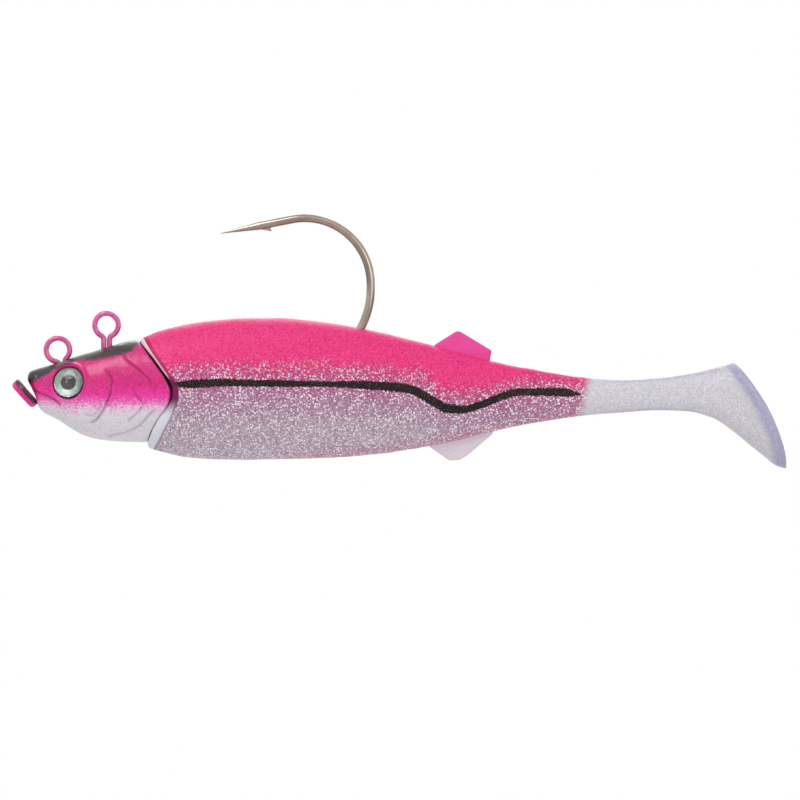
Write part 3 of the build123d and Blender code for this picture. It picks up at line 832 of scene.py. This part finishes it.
def jaw_piece():
    """The dished lower lip: rings from under its middle, over the rim and down into the hollow."""
    columns = 96
    turn = np.arange(columns) * 2 * pi / columns
    along = np.array([JAW_ALONG[0], 0, JAW_ALONG[1]])
    out = np.array([-JAW_ALONG[1], 0, JAW_ALONG[0]])
    width = np.array([0, -1, 0])
    centre = np.array([JAW_CENTRE[0], 0, JAW_CENTRE[1]])
    half = JAW_THICKNESS / 2
    rings, dark = [], []
    for share, height, shade in JAW_PROFILE:
        spread = np.outer(np.cos(turn) * JAW_HALF_LENGTH * share, along)
        spread += np.outer(np.sin(turn) * JAW_HALF_WIDTH * share, width)
        dip = -0.25 * np.sin(turn) ** 2 * (height > 0)
        rings.append(centre + spread + np.outer(height * half + dip, out))
        dark.append(np.full(columns, float(shade)))
    points, faces = closed_grid(np.array(rings))
    dark = np.concatenate([np.array(dark).ravel(), [0, 1]])
    count = len(points)
    none = np.zeros(count)
    masks = {"back": none, "belly": np.full(count, 0.12), "crease_shade": none, "dark": dark}
    return points, faces, masks


def join_parts(parts):
    """One set of points, faces and masks from several."""
    points, faces, masks, first = [], [], {}, 0
    for part_points, part_faces, part_masks in parts:
        points.append(part_points)
        faces += [tuple(i + first for i in f) for f in part_faces]
        for key, values in part_masks.items():
            masks.setdefault(key, []).append(values)
        first += len(part_points)
    return np.concatenate(points), faces, {k: np.concatenate(v) for k, v in masks.items()}


# ---------------------------------------------------------------- the soft body


def body_surface(m, up, side):
    """Points on the moulding's sections at each place along it."""
    lean, top, bottom, width, bow = (table(m, BODY, k) for k in range(1, 6))
    x = m - up * lean + bow * (1 - up**2)
    z = (top + bottom) / 2 + up * (top - bottom) / 2
    y = side * width * (1 + BELLY_NARROWING * up * ease(150, 60, m))
    return np.stack([x, y, z], axis=-1)


def body_grid():
    """Rings of the whole moulding: keeper's hole, front lip, trunk and the paddle's rear face."""
    step = sizes().body_detail / MM
    columns = 144
    up, side = section_angles(columns, BODY_SQUARENESS)
    level = int((BODY_LEVEL_X - 14) / step)
    front = [follow_edge(1 - share, BODY_LEVEL_X, BODY_EDGE, body_surface, up, side)
             for share in np.linspace(0, 1, level + 1) ** 1.3]
    edge = front[0]
    edge_z = edge[:, 2]
    head_end = table(edge_z, HEAD_EDGE) + table(edge_z, HEAD_ROUNDING) + SEAM_GAP
    reach = np.maximum(edge[:, 0] - head_end, 0.3)
    top, bottom, width = (table(edge[:, 0], BODY, k) for k in (2, 3, 4))
    into = inward(edge, (top + bottom) / 2, width, (top - bottom) / 2)
    lip = []
    for angle in np.linspace(pi / 2, 0, 9)[:-1]:
        ring = edge + into * (LIP_INSET * (1 - cos(angle)))
        ring[:, 0] -= reach * sin(angle)
        lip.append(ring)
    collar = keeper_ring(KEEPER_PROFILE[0][0] + 4, KEEPER_PROFILE[0][1] + 0.2, columns)
    wall = [collar + (lip[0] - collar) * share for share in (0, 0.3, 0.6, 0.85)]
    places = np.arange(BODY_LEVEL_X + step, BODY[-1][0], step)
    trunk = [body_surface(np.full(columns, m), up, side) for m in places]
    rear = BODY[-1][0]
    trunk.append(body_surface(np.full(columns, rear), up, side))
    face = []
    for share, out in REAR_FACE:
        ring = body_surface(np.full(columns, rear), up * share, side * share)
        ring[:, 0] += out
        face.append(ring)
    lip_rings = (len(wall), len(wall) + len(lip))
    return np.array(wall + lip + front + trunk + face), lip_rings


def body_masks(grid, lip_rings):
    """Side line, height above it, pearl tail, the painted shade along the tail's outline and rear face, and
    the front lip, at each point.
    """
    x, z = grid[..., 0], grid[..., 2]
    rows = np.asarray(SIDE_LINE, float)
    signed, along = curve_distance(x, z, rows[:, :2])
    thickness = smooth(along * (len(rows) - 1), np.arange(len(rows)), rows[:, 2])
    flank = np.abs(grid[..., 1]) / np.maximum(table(x, BODY, 4), 1)
    line_edge = np.abs(signed) - thickness + np.where(flank < 0.35, 4, 0)
    line_z = smooth(x, rows[:, 0], rows[:, 1])
    split = line_z + 1.6 * ease(86, 92, x) * ease(112, 106, x)
    above = (z - split) * (1 + 0.5 * ease(70, 130, x))
    above = np.where(z < split, above * (1 - 0.45 * ease(104, 122, x)), above)
    tail = ease(-1.7, 1.9, x - (138.4 + 0.22 * (z + 21)))
    top, bottom = (table(np.clip(x, 9, 189.4), BODY, k) for k in (2, 3))
    ring = np.arange(len(grid))[:, None]
    lip = np.where(ring < lip_rings[1], 1.0, 0.0) * np.ones_like(z)
    for k in range(5):
        lip = np.where(ring == lip_rings[1] + k, 1 - (k + 1) / 6, lip)
    rear = rear_share(grid)
    # Painted shade along the tail's top and bottom outline, added to the band near the paddle's rear edge.
    edge = ease(1.1, 0.2, np.minimum(top - z, z - bottom)) * ease(141, 150, x) * ease(184, 176, x) * 0.55
    rim = np.maximum(ease(4.6, 2.2, rear), edge)
    low = ease(4.5, 0.5, z - bottom) * ease(46, 62, x) * (1 - tail)
    return {"above_line": above, "line_edge": line_edge, "tail": tail, "rim": rim, "lip": lip,
            "low_edge": low, "fin": np.zeros_like(z)}


def rear_share(grid):
    """Distance in side view from the paddle's rear edge."""
    lean, top, bottom, _, bow = BODY[-1][1:]
    up = np.clip((grid[..., 2] - (top + bottom) / 2) / ((top - bottom) / 2), -1, 1)
    edge_x = BODY[-1][0] - up * lean + bow * (1 - up**2)
    return edge_x - grid[..., 0]


def body_pieces():
    """The moulding as three skins, each crossing one hinge, with normals shared where they meet."""
    grid, lip_rings = body_grid()
    normals = grid_normals(grid)
    wave = ripple(grid, 6.0, 3.0) * 0.12 + ripple(grid, 1.7, 8.0) * 0.05
    grid = grid + normals * wave[..., None]
    normals = grid_normals(grid)
    masks = body_masks(grid, lip_rings)
    columns = grid.shape[1]
    middle = grid[:, :, 0].mean(axis=1)
    behind_lip = np.arange(len(grid)) > lip_rings[1]
    cuts = [0] + [int(np.argmax((middle > x) & behind_lip)) for x in PIECE_ENDS] + [len(grid) - 1]
    names = ("front_skin", "stem_skin", "paddle_skin")
    made = []
    for name, first, last in zip(names, cuts, cuts[1:]):
        part = slice(first, last + 1)
        points = grid[part].reshape(-1, 3)
        part_normals = normals[part].reshape(-1, 3)
        faces = grid_faces(last + 1 - first, columns)
        values = {k: v[part].ravel() for k, v in masks.items()}
        if last == len(grid) - 1:
            faces += cap_faces(len(points) - columns, columns, len(points), False)
            points = np.concatenate([points, [grid[-1].mean(axis=0)]])
            part_normals = np.concatenate([part_normals, [part_normals[-columns:].mean(axis=0)]])
            values = {k: np.append(v, v[-1]) for k, v in values.items()}
        made.append(build_mesh(name, points, faces, values, part_normals))
    return made


def fin_piece(name, outline, thickness, above, tail):
    """A thin soft fin: a closed outline, rounded at its edge and thicker towards its base."""
    outline = np.asarray(outline, float)
    count = 16
    ring = []
    for start, end in zip(outline, np.roll(outline, -1, axis=0)):
        ring += [start + (end - start) * t for t in np.linspace(0, 1, count, endpoint=False)]
    ring = np.array(ring)
    for _ in range(3):
        ring = (np.roll(ring, 1, axis=0) + ring * 2 + np.roll(ring, -1, axis=0)) / 4
    centre = ring.mean(axis=0)
    rings = []
    half = ((0.02, 1), (0.35, 1), (0.7, 1), (0.9, 0.92), (0.97, 0.7), (1.0, 0.25))
    for share, side in [(a, -b) for a, b in half] + list(reversed(half)):
        flat = centre + (ring - centre) * share
        far = np.abs(flat[:, 1] - centre[1]) / 8
        y = side * thickness / 2 * np.clip(1.25 - far, 0.6, 1.25)
        rings.append(np.stack([flat[:, 0], y, flat[:, 1]], axis=-1))
    points, faces = closed_grid(np.array(rings))
    wave = ripple(points, 2.0, 5.0)
    points[:, 1] += wave * 0.06
    count = len(points)
    levels = {"above_line": above, "line_edge": 9.0, "tail": tail, "rim": 0.0, "lip": 0.0, "low_edge": 0.0,
              "fin": 1.0}
    values = {key: np.full(count, level) for key, level in levels.items()}
    return build_mesh(name, points, faces, values)


# ---------------------------------------------------------------- operators


def dress(piece, material):
    """Gives a piece one material in place of any it has."""
    piece.data.materials.clear()
    piece.data.materials.append(material)


def dress_node(node, material):
    """Gives a CAD node a better material through its object's slots."""
    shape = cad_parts[node]
    for entry in shape.material_slots:
        entry.link = "OBJECT"
        entry.material = material


class SHAD_OT_stage(bpy.types.Operator):
    """Pale floor, soft lamps, plain world and the camera"""
    bl_idname = "shad.stage"
    bl_label = "Stage"

    def execute(self, context):
        low, high = CAD_BOX
        centre = (low + high) / 2
        reach = high.x - low.x
        self.floor(centre, low.z - sizes().floor_drop, reach)
        self.world(context)
        self.lamp("key_lamp", centre + Vector((-1.6, -2.2, 2.9)) * reach, centre, 2.2 * reach, 3.0)
        self.lamp("fill_lamp", centre + Vector((2.2, -2.8, 0.6)) * reach, centre, 2.0 * reach, 1.0)
        self.lamp("rear_lamp", centre + Vector((0.2, 2.6, 1.8)) * reach, centre, 2.4 * reach, 1.6)
        self.camera(context)
        context.scene.view_settings.view_transform = "Standard"
        return {"FINISHED"}

    def floor(self, centre, z, reach):
        half = reach * 60
        mesh = bpy.data.meshes.new("pale_floor")
        corners = [(-half, -half, z), (half, -half, z), (half, half, z), (-half, half, z)]
        mesh.from_pydata(corners, [], [(0, 1, 2, 3)])
        floor = bpy.data.objects.new("pale_floor", mesh)
        bpy.context.collection.objects.link(floor)
        dress(floor, floor_finish((centre.x, centre.y, z), reach))

    def world(self, context):
        world = bpy.data.worlds.new("plain_white")
        world.use_nodes = True
        tree = world.node_tree
        ground = tree.nodes["Background"]
        ground.inputs["Color"].default_value = (1, 1, 1, 1)
        path = tree.nodes.new("ShaderNodeLightPath")
        seen = path.outputs["Is Camera Ray"]
        for other in ("Is Glossy Ray", "Is Transmission Ray"):
            either = tree.nodes.new("ShaderNodeMath")
            either.operation = "MAXIMUM"
            tree.links.new(seen, either.inputs[0])
            tree.links.new(path.outputs[other], either.inputs[1])
            seen = either.outputs[0]
        level = tree.nodes.new("ShaderNodeMapRange")
        level.inputs["To Min"].default_value = 0.5
        level.inputs["To Max"].default_value = 1.0
        tree.links.new(seen, level.inputs["Value"])
        tree.links.new(level.outputs[0], ground.inputs["Strength"])
        context.scene.world = world

    def lamp(self, name, place, aim, size, watts):
        data = bpy.data.lights.new(name, "AREA")
        data.shape = "DISK"
        data.size = size
        data.energy = watts
        lamp = bpy.data.objects.new(name, data)
        lamp.location = place
        lamp.rotation_euler = (aim - place).to_track_quat("-Z", "Y").to_euler()
        bpy.context.collection.objects.link(lamp)

    def camera(self, context):
        data = bpy.data.cameras.new("side_camera")
        data.lens = CAMERA_LENS
        data.sensor_width = CAMERA_SENSOR
        camera = bpy.data.objects.new("side_camera", data)
        distance = VIEW_WIDTH * CAMERA_LENS / CAMERA_SENSOR
        camera.location = (VIEW_CENTRE[0], -distance, VIEW_CENTRE[1])
        camera.rotation_euler = (radians(90), 0, 0)
        data.clip_start = 0.2
        data.clip_end = 50
        context.collection.objects.link(camera)
        context.scene.camera = camera


class SHAD_OT_head(bpy.types.Operator):
    """Painted head casting with its lower lip and keeper"""
    bl_idname = "shad.head"
    bl_label = "Head casting"

    def execute(self, context):
        points, faces, masks = join_parts([head_piece(), jaw_piece()])
        head = build_mesh("painted_head", points, faces, masks)
        dress(head, head_paint())
        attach(head, ROOT)
        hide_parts("head_casting")
        return {"FINISHED"}


class SHAD_OT_eyes(bpy.types.Operator):
    """Printed foils under clear domes"""
    bl_idname = "shad.eyes"
    bl_label = "Eyes"

    def execute(self, context):
        resin = clear_resin()
        for side, word in ((-1, "left"), (1, "right")):
            dress_node(f"eye_foil_{word}", eye_foil(side))
            dress_node(f"eye_dome_{word}", resin)
        return {"FINISHED"}


class SHAD_OT_wires(bpy.types.Operator):
    """Finishes of the hook and the two eyelets"""
    bl_idname = "shad.wires"
    bl_label = "Hook and eyelets"

    def execute(self, context):
        pink = wire_paint()
        dress_node("nose_eyelet", pink)
        dress_node("back_eyelet", pink)
        dress_node("jig_hook", hook_metal())
        return {"FINISHED"}


class SHAD_OT_soft_body(bpy.types.Operator):
    """Soft body skins and fins"""
    bl_idname = "shad.soft_body"
    bl_label = "Soft body"

    def execute(self, context):
        plastic = soft_plastic()
        skins = body_pieces()
        stands_for = (("front_body", "rear_body"), ("tail_stem",), ("tail_paddle",))
        for i, skin in enumerate(skins):
            dress(skin, plastic)
            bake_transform(skin)
            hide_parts(*stands_for[i])
        fins = (
            fin_piece("dorsal_fin", DORSAL_FIN, 1.3, 9.0, 0.0),
            fin_piece("anal_fin", ANAL_FIN, 1.2, -12.0, 0.9),
        )
        for fin in fins:
            dress(fin, plastic)
            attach(fin, "rear_body")
        return {"FINISHED"}


class SHAD_PT_panel(bpy.types.Panel):
    """Lists the pieces that can be built"""
    bl_idname = "SHAD_PT_panel"
    bl_label = "Rigged soft shad"
    bl_space_type = "VIEW_3D"
    bl_region_type = "UI"
    bl_category = "Shad"

    def draw(self, context):
        for operator in OPERATORS:
            self.layout.operator(operator.bl_idname)
        for group in (context.scene.shad_sizes, context.scene.shad_colours):
            for key in group.bl_rna.properties.keys():
                if key not in ("rna_type", "name"):
                    self.layout.prop(group, key)


OPERATORS = (SHAD_OT_stage, SHAD_OT_head, SHAD_OT_eyes, SHAD_OT_wires, SHAD_OT_soft_body)
CLASSES = (ShadSizes, ShadColours) + OPERATORS + (SHAD_PT_panel,)


def register():
    for cls in CLASSES:
        bpy.utils.register_class(cls)
    bpy.types.Scene.shad_sizes = PointerProperty(type=ShadSizes)
    bpy.types.Scene.shad_colours = PointerProperty(type=ShadColours)


def unregister():
    del bpy.types.Scene.shad_colours
    del bpy.types.Scene.shad_sizes
    for cls in reversed(CLASSES):
        bpy.utils.unregister_class(cls)


def main():
    register()
    bpy.ops.shad.stage()
    bpy.ops.shad.head()
    bpy.ops.shad.eyes()
    bpy.ops.shad.wires()
    bpy.ops.shad.soft_body()


if __name__ == "__main__":
    main()
